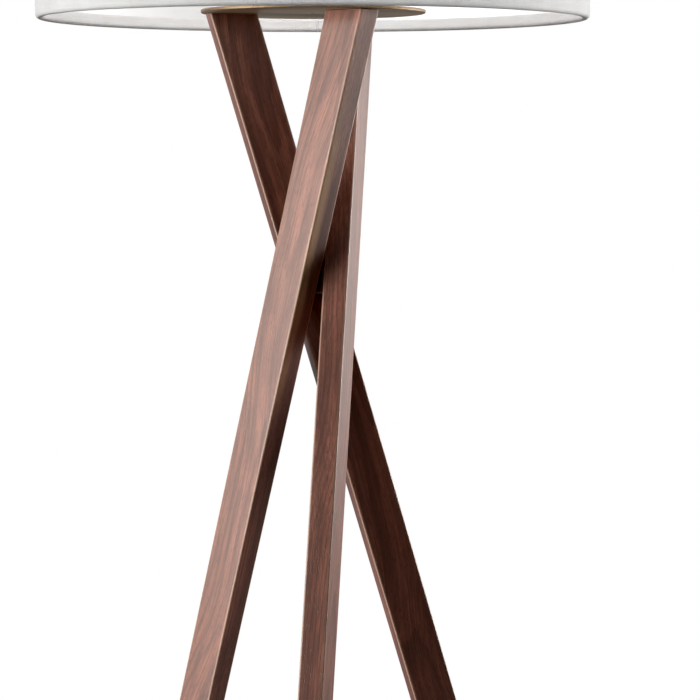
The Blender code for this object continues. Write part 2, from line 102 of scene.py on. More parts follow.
def mixed(tree, factor, first, second):
    """A colour between first and second, by factor."""
    made = add_node(tree, "Mix", {0: factor, 6: first, 7: second}, data_type="RGBA")
    return made.outputs[2]


floor_radius, floor_fade, floor_grey, floor_glow = 1.40, 0.80, 0.34, 0.86
ring = np.linspace(0.0, 2 * math.pi, 96, endpoint=False)
floor_mesh = bpy.data.meshes.new("studio_floor")
floor_points = np.column_stack([floor_radius * np.cos(ring), floor_radius * np.sin(ring), 0 * ring])
floor_mesh.from_pydata(floor_points.tolist(), [], [list(range(len(ring)))])
floor = bpy.data.objects.new("studio_floor", floor_mesh)
bpy.context.scene.collection.objects.link(floor)

floor_finish = bpy.data.materials.new("studio_floor")
floor_finish.use_nodes = True
tree = floor_finish.node_tree
tree.nodes.clear()
place = add_node(tree, "TexCoord").outputs["Object"]
out = vectors(tree, "LENGTH", place)
seen = add_node(tree, "LightPath").outputs["Is Camera Ray"]
paint = add_node(tree, "BsdfDiffuse", {"Color": (floor_grey, floor_grey, floor_grey, 1.0)}).outputs[0]
glow = add_node(tree, "Emission", {"Strength": maths(tree, "MULTIPLY", seen, floor_glow)}).outputs[0]
lit = add_node(tree, "AddShader", {0: paint, 1: glow}).outputs[0]
clear = add_node(tree, "BsdfTransparent").outputs[0]
under = add_node(tree, "NewGeometry").outputs["Backfacing"]
edge = maths(tree, "MAXIMUM", ramp(tree, out, floor_fade, floor_radius - 0.02), under)
whole = add_node(tree, "MixShader", {0: edge, 1: lit, 2: clear}).outputs[0]
add_node(tree, "OutputMaterial", {"Surface": whole})
floor_mesh.materials.append(floor_finish)

# What the room sends on the lamp: little from the front, most from behind, and less from below.
front_light, back_light, low_share = 0.05, 0.58, 0.55
room = bpy.data.worlds.new("studio_room")
room.use_nodes = True
tree = room.node_tree
tree.nodes.clear()
way = add_node(tree, "TexCoord").outputs["Generated"]
part_of = add_node(tree, "SeparateXYZ", {0: way})
behind = ramp(tree, part_of.outputs["Y"], 0.15, 0.65, front_light, back_light)
below = ramp(tree, part_of.outputs["Z"], -0.15, 0.0, low_share, 1.0)
wall = maths(tree, "MULTIPLY", behind, below)
seen = add_node(tree, "LightPath").outputs["Is Camera Ray"]
strength = add_node(tree, "Mix", {0: seen, 2: wall, 3: 1.0}, data_type="FLOAT").outputs[0]
sky = add_node(tree, "Background", {"Color": (1.0, 1.0, 1.0, 1.0), "Strength": strength}).outputs[0]
add_node(tree, "OutputWorld", {"Surface": sky})
bpy.context.scene.world = room

# The deepest shadows go to black, as a studio print's do.
grade = bpy.context.scene.view_settings
grade.view_transform = "Standard"
grade.use_curve_mapping = True
grade.curve_mapping.black_level = (0.004, 0.004, 0.004)
grade.curve_mapping.update()


def softbox(name, azimuth, distance, height, aim, width, tall, watts, spread=180.0, reach=None):
    """An area light at an azimuth, in degrees from +X, and a distance from the lamp's axis. It faces
    the height aim on the axis, and a grid holds its beam to a spread in degrees. reach is a collection
    that says what it lights."""
    data = bpy.data.lights.new(name, "AREA")
    data.shape = "RECTANGLE"
    data.size, data.size_y = width, tall
    data.energy = watts
    data.spread = math.radians(spread)
    made = bpy.data.objects.new(name, data)
    turn = math.radians(azimuth)
    made.location = (axis_x + distance * math.cos(turn), axis_y + distance * math.sin(turn), height)
    tip = math.atan2(height - aim, distance)
    made.rotation_euler = (math.pi / 2 - tip, 0.0, turn + math.pi / 2)
    made.visible_camera = False
    made.light_linking.receiver_collection = reach
    bpy.context.scene.collection.objects.link(made)


lit_shade = bpy.data.collections.new("lit_by_the_shade_lights")
shadowed_shade = bpy.data.collections.new("flagged_off_the_shade")
softbox("softbox_left", azimuth=201, distance=1.9, height=0.45, aim=0.52, width=1.0, tall=1.6,
        watts=20, spread=100, reach=shadowed_shade)
softbox("softbox_right", azimuth=27, distance=1.9, height=1.15, aim=1.12, width=0.7, tall=1.3,
        watts=12, spread=90, reach=shadowed_shade)
softbox("softbox_over", azimuth=300, distance=0.50, height=2.90, aim=1.30, width=0.9, tall=0.5, watts=5)
for side, azimuth, watts in (("left", 216, 41), ("right", 347, 39)):
    softbox("shade_light_" + side, azimuth, distance=2.0, height=1.50, aim=1.34, width=1.0, tall=1.0,
            watts=watts, reach=lit_shade)

inner_over_plate = 0.185
inner_data = bpy.data.lights.new("shade_glow", "POINT")
inner_data.energy, inner_data.shadow_soft_size = 1.5, 0.03
inner_light = bpy.data.objects.new("shade_glow", inner_data)
inner_light.location = (axis_x, axis_y, plate_top + inner_over_plate)
inner_light.visible_camera = False
bpy.context.scene.collection.objects.link(inner_light)


# ---- legs ----
# Three walnut posts of flat-sawn timber, 43 by 23 mm, planed, eased along their arrises by hand and
# given a satin lacquer. They lean past one another, and both ends are sawn level.

def levels(node):
    """The lowest and the highest z of a frame node."""
    return [corner[2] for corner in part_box(node)]


def over_middle(node, height):
    """The point at a height over the middle of a frame node's box."""
    low, high = (np.array(corner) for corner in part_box(node))
    return np.array([*((low + high) / 2)[:2], height])


def rising(value, start, over):
    """0 until value reaches start, then evenly up to 1 over the next stretch."""
    return np.clip((value - start) / over, 0.0, 1.0)


def spread_out(x, y, z):
    """Three arrays of coordinates, spread to one shape, as points."""
    return np.stack(np.broadcast_arrays(x, y, z), -1)


def lattice(points, wrap_down=False, wrap_round=True):
    """Joins points of shape (rows, columns, 3) into quads, row to row and column to column. A first or
    last row that has shrunk to one place becomes one point with a fan of triangles round it."""
    rows, columns = points.shape[:2]
    number = np.arange(rows * columns).reshape(rows, columns)
    for end in (0, rows - 1):
        if np.ptp(points[end], axis=0).max() < 1e-7:
            number[end] = number[end, 0]
    if wrap_down:
        number = np.vstack([number, number[:1]])
    if wrap_round:
        number = np.hstack([number, number[:, :1]])
    quads = np.stack([number[:-1, :-1], number[:-1, 1:], number[1:, 1:], number[1:, :-1]], -1)
    quads = quads.reshape(-1, 4)
    above, under = quads[:, 0] == quads[:, 1], quads[:, 2] == quads[:, 3]
    faces = quads[~above & ~under].tolist()
    faces += quads[above][:, [0, 2, 3]].tolist() + quads[under][:, [0, 1, 2]].tolist()
    return points.reshape(-1, 3), faces


def outward(points, faces):
    """The same closed surface with its faces pointing out: they are turned if its volume, the sum over
    the faces of a corner's triple product with the next two, is negative."""
    halves = [[face[0], face[2], face[3]] for face in faces if len(face) == 4]
    corners = np.array([face[:3] for face in faces] + halves)
    a, b, c = (points[corners[:, count]] for count in range(3))
    if np.einsum("ij,ij->i", a, np.cross(b, c)).sum() < 0:
        faces = [face[::-1] for face in faces]
    return points, faces


def make_piece(name, surfaces, finish, body, stands_for, fields=None, sharp=35.0):
    """Puts surfaces, each (points, faces), into one mesh object that rides on a body and stands for CAD
    nodes. fields are values held at the points, one row a point, for the material to read."""
    points, faces, start = [], [], 0
    for part_points, part_faces in surfaces:
        points.append(part_points)
        faces += [[corner + start for corner in face] for face in part_faces]
        start += len(part_points)
    points = np.vstack(points)
    used = np.unique(np.concatenate([np.array(face) for face in faces]))
    fresh = np.zeros(len(points), int)
    fresh[used] = np.arange(len(used))
    mesh = bpy.data.meshes.new(name)
    mesh.from_pydata(points[used].tolist(), [], [fresh[face].tolist() for face in faces])
    for key, values in (fields or {}).items():
        kind = "FLOAT_VECTOR" if values.ndim == 2 else "FLOAT"
        held = mesh.attributes.new(key, kind, "POINT")
        held.data.foreach_set("vector" if values.ndim == 2 else "value", values[used].ravel())
    mesh.shade_smooth()
    mesh.set_sharp_from_angle(angle=math.radians(sharp))
    mesh.materials.append(finish)
    made = bpy.data.objects.new(name, mesh)
    bpy.context.scene.collection.objects.link(made)
    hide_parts(*stands_for)
    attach(made, body)
    return made


def new_finish(name, roughness=0.5, metallic=0.0):
    """A material with one Principled shader. Returns it, its node tree and the shader's inputs."""
    made = bpy.data.materials.new(name)
    made.use_nodes = True
    shader = made.node_tree.nodes["Principled BSDF"]
    shader.inputs["Roughness"].default_value = roughness
    shader.inputs["Metallic"].default_value = metallic
    return made, made.node_tree, shader.inputs


def stretched_noise(tree, place, scale, detail=3.0, roughness=0.5, output=0):
    """Noise whose grains are long or short along each axis: place is multiplied by scale first."""
    inputs = {"Vector": vectors(tree, "MULTIPLY", place, scale), "Scale": 1.0, "Detail": detail,
              "Roughness": roughness}
    return add_node(tree, "TexNoise", inputs).outputs[output]


def pits(tree, place, scale, low, high):
    """Small pits, 1 at the heart and 0 outside: the distance to the nearest of scattered points, in a
    place multiplied by scale, goes through a smooth step from low to high."""
    inputs = {"Vector": vectors(tree, "MULTIPLY", place, scale), "Scale": 1.0}
    nearest = add_node(tree, "TexVoronoi", inputs).outputs["Distance"]
    return ramp(tree, nearest, low, high, 1.0, 0.0)


def bumped(tree, shader, height, distance):
    """Lets a height socket raise the surface by up to distance, in metres."""
    inputs = {"Height": height, "Distance": distance, "Strength": 1.0}
    tree.links.new(add_node(tree, "Bump", inputs).outputs[0], shader["Normal"])


# Timber, read at its place in the post: across the width, through the thickness, and along. Year rings
# lie about the pith, and streaks, mottle, fibres and two sizes of pore run along the grain. The arrises
# are lighter: partly wear of the lacquer and partly a painted highlight along the rounded edges.
walnut, tree, shader = new_finish("walnut_satin")
place = add_node(tree, "Attribute", attribute_name="timber_place").outputs["Vector"]
on_arris = add_node(tree, "Attribute", attribute_name="arris").outputs["Fac"]
sapwood = add_node(tree, "Attribute", attribute_name="sapwood").outputs["Fac"]
bend = stretched_noise(tree, place, (3.0, 3.0, 1.5), 2.0, output="Color")
bend = vectors(tree, "MULTIPLY", vectors(tree, "SUBTRACT", bend, (0.5, 0.5, 0.5)), (0.05, 0.05, 0.0))
from_pith = vectors(tree, "MULTIPLY", vectors(tree, "ADD", place, bend), (1.0, 1.0, 0.0))
uneven = stretched_noise(tree, place, (60.0, 60.0, 5.0), 2.0)
rings_a_metre = 280.0
years = maths(tree, "MULTIPLY_ADD", vectors(tree, "LENGTH", from_pith), rings_a_metre,
              maths(tree, "MULTIPLY", uneven, 1.4))
year = maths(tree, "FRACT", years)
late = maths(tree, "MULTIPLY", ramp(tree, year, 0.45, 0.97), ramp(tree, year, 1.0, 0.97))
streak = ramp(tree, stretched_noise(tree, place, (46.0, 46.0, 1.3), 3.0), 0.46, 0.68)
broad = stretched_noise(tree, place, (16.0, 16.0, 0.9), 2.0)
mottle = stretched_noise(tree, place, (150.0, 150.0, 26.0), 4.0, 0.6)
fibre = stretched_noise(tree, place, (900.0, 900.0, 14.0), 3.0)
pore = pits(tree, place, (900.0, 900.0, 110.0), 0.12, 0.34)
vessel = pits(tree, place, (430.0, 430.0, 48.0), 0.08, 0.22)
pale, rich, dark = (0.355, 0.133, 0.086, 1.0), (0.25, 0.085, 0.052, 1.0), (0.066, 0.021, 0.015, 1.0)
pit, bark_side, wear_and_highlight = (0.05, 0.014, 0.008, 1.0), (0.44, 0.25, 0.115, 1.0), (0.62, 0.40, 0.28, 1.0)
colour = mixed(tree, ramp(tree, broad, 0.35, 0.65), pale, rich)
# The last mark lightens the arrises: partly lacquer worn thin there, partly a painted highlight where
# the rounded edges catch the light.
for share, tone in ((ramp(tree, mottle, 0.38, 0.66, 0.0, 0.42), dark),
                    (maths(tree, "MULTIPLY", streak, 0.60), dark),
                    (maths(tree, "MULTIPLY", late, 0.50), dark),
                    (maths(tree, "MULTIPLY_ADD", fibre, 2.2, -0.85, clamp=True), dark),
                    (maths(tree, "MULTIPLY", vessel, 0.5), pit),
                    (maths(tree, "MULTIPLY", pore, 0.65), pit),
                    (maths(tree, "MULTIPLY", sapwood, 0.70), bark_side),
                    (maths(tree, "MULTIPLY", on_arris, 0.55), wear_and_highlight)):
    colour = mixed(tree, share, colour, tone)
tree.links.new(colour, shader["Base Color"])
tree.links.new(maths(tree, "MULTIPLY_ADD", fibre, 0.22, 0.31), shader["Roughness"])
shader["Specular IOR Level"].default_value = 0.78
shader["Specular Tint"].default_value = (1.0, 0.94, 0.87, 1.0)
sunk = maths(tree, "MULTIPLY_ADD", maths(tree, "MAXIMUM", pore, vessel), -1.0, fibre)
bumped(tree, shader, sunk, 0.00005)

leg_wide_top, leg_wide_foot, leg_thick, arris_radius = 0.0428, 0.0400, 0.0232, 0.0014
leg_slope, leg_top_radius, leg_roll = 0.300, 0.0764, math.radians(2.3)
first_top, lean_behind, leg_apart = 178.0, 159.8, 120.0
across_steps, arc_steps, leg_rows = 7, 5, 90
end_ease, end_ease_mid, timber_apart = 0.0007, 0.0002, 2.7


def leg_section(wide, thick, radius):
    """A rectangle with round corners, once round: the straight sides' points lie evenly, and each
    corner is a quarter circle. Gives (across, through) and, for each point, how far into a corner it
    is: 0 on a side, and in a corner 0.4 plus 0.6 of the sine of twice its angle."""
    arc = np.linspace(0.0, math.pi / 2, arc_steps)
    inner = np.array([wide / 2 - radius, thick / 2 - radius])
    places, corner = [], []
    for turn, (sx, sy) in enumerate([(1, 1), (-1, 1), (-1, -1), (1, -1)]):
        angle = arc + turn * math.pi / 2
        places.append(np.column_stack([sx * inner[0] + radius * np.cos(angle),
                                       sy * inner[1] + radius * np.sin(angle)]))
        corner.append(np.sin(2 * arc) * 0.6 + 0.4)
        last, end = places[-1][-1], angle[-1]
        first = inner * [(-1, 1), (-1, -1), (1, -1), (1, 1)][turn]
        first = first + radius * np.array([math.cos(end), math.sin(end)])
        share = np.concatenate([[0.035], np.linspace(0.1, 0.9, across_steps), [0.965]])[:, None]
        places.append(last + share * (first - last))
        corner.append(np.zeros(len(share)))
    return np.vstack(places), np.concatenate(corner)


for count, letter in enumerate("bac"):
    low, high = levels("leg_" + letter)
    top_angle = math.radians(first_top + leg_apart * count)
    travel = top_angle - math.radians(lean_behind)
    down = np.array([leg_slope * math.cos(travel), leg_slope * math.sin(travel), -1.0])
    down /= np.linalg.norm(down)
    flat = np.cross(down, [0.0, 0.0, 1.0])
    flat /= np.linalg.norm(flat)
    upright = np.cross(flat, down)
    width_way = upright * math.cos(leg_roll) + np.cross(down, upright) * math.sin(leg_roll)
    thick_way = flat * math.cos(leg_roll) + np.cross(down, flat) * math.sin(leg_roll)
    top_centre = np.array([axis_x + leg_top_radius * math.cos(top_angle),
                           axis_y + leg_top_radius * math.sin(top_angle), plate_under])
    heights = np.concatenate([[high, high, high - end_ease_mid],
                              np.linspace(high - end_ease, low + end_ease, leg_rows),
                              [low + end_ease_mid, low, low]])
    end_shrink = [1.0, end_ease, end_ease_mid]
    shrink = np.concatenate([end_shrink, np.zeros(leg_rows), end_shrink[::-1]])
    rows, marks = [], []
    for height, less in zip(heights, shrink):
        share = (plate_under - height) / plate_under
        wide = leg_wide_top + (leg_wide_foot - leg_wide_top) * share
        section, corner = leg_section(wide, leg_thick, arris_radius)
        if less == 1.0:
            section = section * 0.0
        else:
            section = section * (1 - 2 * less / np.array([wide, leg_thick]))
        offset = section[:, :1] * width_way + section[:, 1:] * thick_way
        centre = top_centre + down * (height - plate_under) / down[2]
        rows.append(centre + offset - down * (offset[:, 2:] / down[2]))
        marks.append(np.where(less > 0, 1.0, corner) if 0 < less < 1 else corner)
    points = np.array(rows)
    local = points.reshape(-1, 3) - top_centre
    across, through, along = local @ width_way, local @ thick_way, local @ down
    pith = [(0.052, -0.010), (-0.060, 0.012), (0.058, 0.014)][count]
    sway = 0.013 * np.sin(11.0 * along + 2.1 * count) + 0.002 * np.sin(31.0 * along + count)
    timber = np.column_stack([across + pith[1] + sway, through + pith[0], along + timber_apart * count])
    # The front post was sawn near the bark: a strip of pale sapwood shows along one of its edges.
    sap = rising(-through, 0.0005, 0.004) * rising(-across, 0.0195, 0.0012)
    sap *= rising(along, 0.06, 0.10) * rising(-along, -0.42, 0.15) * (letter == "a")
    make_piece(f"leg_{letter}_post", [outward(*lattice(points))], walnut, "stand", [f"leg_{letter}"],
               {"timber_place": timber, "sapwood": sap,
                            "arris": np.concatenate(marks)}, sharp=60.0)


# ---- foot glides ----
# A moulded nylon disc under each foot, 18 mm across with a round lower edge, held by the nail that is
# moulded into it, so that the sawn end of the post stands clear of the floor.

def eased(profile, radius, steps=4):
    """A profile with its corners rounded: each corner gives way to a quadratic curve between the
    points a radius before and after it, or nearly half a side where the side is short. A profile that
    starts off the axis is a closed loop, here and below."""
    profile = np.array(profile, float)

    def towards(other):
        """The corners, each moved by the radius, or by 0.45 of the way if that is less, to another."""
        way = other - profile
        size = np.maximum(np.linalg.norm(way, axis=1, keepdims=True), 1e-9)
        return (profile + way * np.minimum(radius / size, 0.45))[:, None]

    share = np.linspace(0.0, 1.0, steps)[None, :, None]
    before, after = towards(np.roll(profile, 1, 0)), towards(np.roll(profile, -1, 0))
    curve = (1 - share) ** 2 * before + 2 * share * (1 - share) * profile[:, None] + share ** 2 * after
    if profile[0, 0] != 0.0:
        return curve.reshape(-1, 2)
    return np.vstack([profile[:1], curve[1:-1].reshape(-1, 2), profile[-1:]])


def filled(profile, step):
    """The same profile with points added evenly along its straight sides, at most a step apart."""
    closed = profile[0, 0] != 0.0
    ends = np.roll(profile, -1, 0) if closed else profile[1:]
    parts = []
    for start, end in zip(profile, ends):
        count = max(1, math.ceil(np.linalg.norm(end - start) / step))
        parts.append(start + (end - start) * np.arange(count)[:, None] / count)
    return np.vstack(parts if closed else parts + [profile[-1:]])


def turned(profile, at=(0.0, 0.0, 0.0), steps=48, shape=None):
    """A turned surface: each (radius, height) of the profile goes round an upright axis as
    (radius cos angle, radius sin angle, height). shape may change the radii by angle and height."""
    radius, height = np.array(profile, float).T[:, :, None]
    angle = np.linspace(0.0, 2 * math.pi, steps, endpoint=False)[None, :]
    if shape is not None:
        radius = shape(radius, angle, height)
    points = spread_out(radius * np.cos(angle), radius * np.sin(angle), height) + np.array(at, float)
    return outward(*lattice(points, wrap_down=profile[0][0] != 0.0))


def drifting(name, first, second, scale, rough, bump, metallic=0.0):
    """A material whose colour drifts between two tones, and its roughness between two values, over
    patches that are long or short along each axis by scale, with a fine unevenness of bump metres.
    Returns it and its shader's inputs."""
    made, tree, shader = new_finish(name, metallic=metallic)
    place = add_node(tree, "TexCoord").outputs["Object"]
    patch = stretched_noise(tree, place, scale, 4.0, 0.6)
    level = ramp(tree, patch, 0.35, 0.65)
    tree.links.new(mixed(tree, level, (*first, 1.0), (*second, 1.0)), shader["Base Color"])
    tree.links.new(ramp(tree, patch, 0.35, 0.65, *rough), shader["Roughness"])
    bumped(tree, shader, patch, bump)
    return made, shader


def turned_piece(name, node, profile, at, steps, finish, body="stand", shape=None, sharp=35.0):
    """A piece of one turned surface that stands for one CAD node."""
    surface = turned(profile, at, steps, shape)
    return make_piece(name, [surface], finish, body, [node], sharp=sharp)


nylon, _ = drifting("nylon_glide", (0.055, 0.048, 0.042), (0.085, 0.075, 0.066), (300.0,) * 3,
                    (0.45, 0.65), 0.00005)
disc = eased([(0.0, 0.018), (0.0013, 0.0165), (0.0013, 0.003), (0.009, 0.003), (0.009, 0.0), (0.0, 0.0)],
             0.0008, steps=6)
for letter in "abc":
    centre = over_middle("foot_glide_" + letter, 0.0)
    turned_piece(f"glide_{letter}_disc", "foot_glide_" + letter, disc, centre, 48, nylon)


# ---- hub and dowels ----
# A three-sided walnut block sits out of sight where the posts pass, glued to their inner faces with
# one beech dowel into each. The frame's own block and dowels are used: the dowels get beech, and the
# block a walnut painted far darker than the posts', a painted shade for the deep shadow it sits in.

def refinish(node, finish):
    """Gives a frame piece a new material in each of its slots."""
    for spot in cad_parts[node].material_slots:
        spot.material = finish


# The block's tones are much darker than the posts' walnut: painted shade, not the timber's own colour.
shade_darkened_hub_wood, _ = drifting("walnut_block_painted_shade", (0.060, 0.020, 0.010), (0.115, 0.042, 0.022),
                       (160.0, 160.0, 9.0), (0.42, 0.60), 0.0001)
refinish("hub_block", shade_darkened_hub_wood)
beech, _ = drifting("beech_dowel", (0.56, 0.40, 0.25), (0.68, 0.52, 0.35), (400.0,) * 3, (0.55, 0.70),
                    0.0001)
for letter in "abc":
    refinish("hub_dowel_" + letter, beech)


# ---- head plate ----
# A round plate blanked from 3 mm steel, its edge broken, brushed one way and plated in a warm satin
# nickel. The posts butt against its underside and are screwed to it from above.

satin_nickel, tree, shader = new_finish("satin_nickel_plate", metallic=1.0)
place = add_node(tree, "TexCoord").outputs["Object"]
brushed = stretched_noise(tree, place, (12.0, 900.0, 900.0), 3.0)
cloud = stretched_noise(tree, place, (18.0,) * 3, 3.0)
warm, warmer, scratch = (0.27, 0.190, 0.118, 1.0), (0.33, 0.234, 0.148, 1.0), (0.13, 0.092, 0.062, 1.0)
tone = mixed(tree, ramp(tree, cloud, 0.3, 0.7), warm, warmer)
tone = mixed(tree, ramp(tree, brushed, 0.35, 0.70, 0.0, 0.35), tone, scratch)
tree.links.new(tone, shader["Base Color"])
tree.links.new(ramp(tree, brushed, 0.3, 0.7, 0.42, 0.60), shader["Roughness"])
bumped(tree, shader, brushed, 0.00003)

plate_thick = plate_top - plate_under
plate_radius, nipple_hole, broken_edge = 0.1041, 0.0052, 0.0006
plate_line = eased([(plate_radius, plate_thick), (plate_radius, broken_edge),
                    (plate_radius - broken_edge, 0.0), (nipple_hole, 0.0), (nipple_hole, plate_thick)],
                   0.0003)
plate_piece = turned_piece("head_plate_disc", "head_plate", plate_line, (axis_x, axis_y, plate_under),
                           160, satin_nickel)
bushing_x, bushing_hole = axis_x + 0.040, 0.0052
punch_reach = 0.01
punch = turned([(0.0, -punch_reach), (bushing_hole, -punch_reach), (bushing_hole, punch_reach),
                (0.0, punch_reach)], (bushing_x, axis_y, plate_under), 32)
punch_mesh = bpy.data.meshes.new("cord_hole_punch")
punch_mesh.from_pydata(punch[0].tolist(), [], punch[1])
punch_mesh.validate()
punch_tool = bpy.data.objects.new("cord_hole_punch", punch_mesh)
bpy.context.scene.collection.objects.link(punch_tool)
cut = plate_piece.modifiers.new("cord_hole", "BOOLEAN")
cut.operation, cut.solver, cut.object = "DIFFERENCE", "EXACT", punch_tool
graph = bpy.context.evaluated_depsgraph_get()
pierced = bpy.data.meshes.new_from_object(plate_piece.evaluated_get(graph))
plate_piece.modifiers.remove(cut)
plate_piece.data = pierced
pierced.set_sharp_from_angle(angle=math.radians(35))
bpy.data.objects.remove(punch_tool)


# ---- leg screws ----
# Two zinc-plated pan-head screws go down through the plate into the end grain of each post. Each head
# is domed, with a cross recess formed in it.

zinc, _ = drifting("zinc_plate", (0.50, 0.51, 0.53), (0.64, 0.64, 0.64), (500.0,) * 3, (0.28, 0.42),
                   0.00002, metallic=1.0)


def threaded(low, high, pitch, depth, least=0.0):
    """A screw thread for turned(): between low and high the radius drops by depth times half of one
    minus the cosine of the height's turns less the angle, and the drop fades out at both ends."""
    def shape(radius, angle, height):
        """The radius with the thread cut in it, where it is not under least."""
        fade = rising(height, low, pitch) * rising(-height, -high, pitch)
        cut = 0.5 - 0.5 * np.cos(2 * math.pi * height / pitch - angle)
        return np.where(radius >= least, radius - depth * fade * cut, radius + 0 * angle)
    return shape


def recess_bar(across, along):
    """One bar of a cross recess, 1 inside and 0 outside: it falls off over the last 0.2 mm of its half
    width and the last 0.6 mm of its half length."""
    half_wide, half_long = 0.00055, 0.0022
    return rising(-np.abs(across), -half_wide, 0.0002) * rising(-np.abs(along), -half_long, 0.0006)


head_radius, head_edge, head_dome, head_under = 0.0042, 0.0011, 0.0018, 0.0003
shank_radius, shank_low, recess_deep = 0.0020, -0.028, 0.0011
angle = np.linspace(0.0, 2 * math.pi, 64, endpoint=False)
shank = filled(np.array([(0.0, shank_low), (0.0008, shank_low + 0.003),
                         (shank_radius, shank_low + 0.006), (shank_radius, head_under),
                         (head_radius, head_under), (head_radius, head_edge)]), 0.0003)
thread = threaded(shank_low + 0.002, -0.004, 0.0016, 0.0006)(shank[:, :1], angle, shank[:, 1:])
low_part = spread_out(thread * np.cos(angle), thread * np.sin(angle), shank[:, 1:])
out_to = np.linspace(head_radius, 0.0, 26)[:, None]
dome = head_edge + head_dome * (1 - (out_to / head_radius) ** 2) ** 0.5
x, y = out_to * np.cos(angle), out_to * np.sin(angle)
recess = recess_deep * np.maximum(recess_bar(x, y), recess_bar(y, x))
screw = np.vstack([low_part[:-1], spread_out(x, y, dome - recess)])
for name in (letter + count for letter in "abc" for count in "12"):
    placed = outward(*lattice(screw + over_middle("leg_screw_" + name, plate_top)))
    make_piece(f"screw_{name}_panhead", [placed], zinc, "stand", ["leg_screw_" + name],
               sharp=50.0)


# ---- cord bushing ----
# A black nylon bushing snapped into the plate, which keeps the lead off the hole's edge: a flange
# above the plate and a barbed lip under it.

black, _ = drifting("moulded_black", (0.022, 0.021, 0.020), (0.040, 0.038, 0.036), (260.0,) * 3,
                    (0.32, 0.50), 0.00004)
over = plate_thick + 0.0003
bushing = eased([(0.0070, over + 0.0015), (0.0080, over + 0.0008), (0.0080, over), (0.0049, over),
                 (0.0049, -0.0003), (0.0062, -0.0003), (0.0055, -0.0021), (0.0033, -0.0021),
                 (0.0033, over + 0.0015)], 0.0003)
turned_piece("bushing_snap_in", "cord_bushing", bushing, (bushing_x, axis_y, plate_under), 40, black)


# ---- nipple, nut and lock washer ----
# A running-thread brass nipple holds the lamp head to the plate: a hexagon nut clamps it, and a
# toothed washer bites under the socket so that it can't unwind.

brass, shader = drifting("lacquered_brass", (0.60, 0.42, 0.17), (0.74, 0.55, 0.27), (120.0,) * 3,
                         (0.20, 0.34), 0.00003, metallic=1.0)
shader["Coat Weight"].default_value = 0.25
shader["Coat Roughness"].default_value = 0.12
base = (axis_x, axis_y, plate_top)
nipple_low, nipple_high, nipple_out, nipple_bore = 0.0003 - plate_thick, 0.021, 0.00485, 0.0032
thread_pitch, thread_deep = 0.00094, 0.0005
nipple = filled(eased([(nipple_out, nipple_low), (nipple_out, nipple_high), (nipple_bore, nipple_high),
                       (nipple_bore, nipple_low)], 0.0003), 0.00014)
turned_piece("nipple_running_thread", "threaded_nipple", nipple, base, 40, brass,
             shape=threaded(-0.003, 0.0215, thread_pitch, thread_deep, 0.004))


def hexagon(across_flats):
    """Six flats for turned(): the radius is capped at half across_flats over the cosine of the angle
    from the nearest flat's middle."""
    def shape(radius, angle, height):
        """The radius, or the flat's distance where that is less."""
        from_middle = (angle + math.pi / 6) % (math.pi / 3) - math.pi / 6
        return np.minimum(radius + 0 * angle, across_flats / 2 / np.cos(from_middle) + 0 * radius)
    return shape


nut = filled(eased([(0.0085, 0.0003), (0.0094, 0.0008), (0.0094, 0.0038), (0.0085, 0.0043),
                    (0.0052, 0.0043), (0.0052, 0.0003)], 0.0001), 0.0006)
turned_piece("nut_hexagon", "hex_nut", nut, base, 96, brass,
             shape=hexagon(0.016), sharp=25.0)


def toothed(radius, angle, height):
    """Fourteen teeth for turned(): outside 7 mm the radius is cut back by a square-shouldered wave."""
    wave = np.clip(3.0 * np.cos(14 * angle), -1, 1)
    return np.where(radius > 0.007, radius - 0.0012 * (0.5 - 0.5 * wave), radius + 0 * angle)


washer_low = levels("lock_washer")[0] - plate_top
washer_high = washer_low + 0.001
washer = eased([(0.0090, washer_low), (0.0090, washer_high), (0.0052, washer_high),
                (0.0052, washer_low)], 0.0002)
turned_piece("washer_toothed", "lock_washer", washer, base, 168, zinc,
             shape=toothed)


# ---- harp saddle, harp and sleeves ----
# A brass strip is bent up under the socket, with a round tang on each arm. The harp, one length of
# spring wire with a threaded seat at its top, stands on the tangs, and two sleeves slide down over
# the joints and lock them.

def swept(path, section, side):
    """A section carried along a flat path: at each point its first axis lies along side, which is
    square to the path's plane, and its second along side crossed with the path's direction. Each end
    is closed with a fan."""
    path, side = np.array(path, float), np.array(side, float)
    tangent = np.gradient(path, axis=0)
    tangent /= np.linalg.norm(tangent, axis=1, keepdims=True)
    up = np.cross(side, tangent)
    points = path[:, None] + section[None, :, :1] * side + section[None, :, 1:] * up[:, None]
    ends = [np.repeat(path[end][None, None], len(section), 1) for end in (0, -1)]
    return outward(*lattice(np.vstack([ends[0], points, ends[1]])))


def smooth_path(points, count):
    """A path eased four times over, each time by giving every corner two points, a quarter of the way
    along the side before and the side after, and then spaced evenly by its length."""
    path = np.array(points, float)
    for _ in range(4):
        cut = np.empty((2 * len(path) - 2, path.shape[1]))
        cut[0::2] = path[:-1] * 0.75 + path[1:] * 0.25
        cut[1::2] = path[:-1] * 0.25 + path[1:] * 0.75
        cut[0], cut[-1] = path[0], path[-1]
        path = cut
    walked = np.concatenate([[0.0], np.cumsum(np.linalg.norm(np.diff(path, axis=0), axis=1))])
    even = np.linspace(0.0, walked[-1], count)
    return np.column_stack([np.interp(even, walked, column) for column in path.T])


def round_section(radius, sides=16):
    """A round wire's section: (radius cos angle, radius sin angle), once round."""
    angle = np.linspace(0.0, 2 * math.pi, sides, endpoint=False)
    return radius * np.column_stack([np.cos(angle), np.sin(angle)])


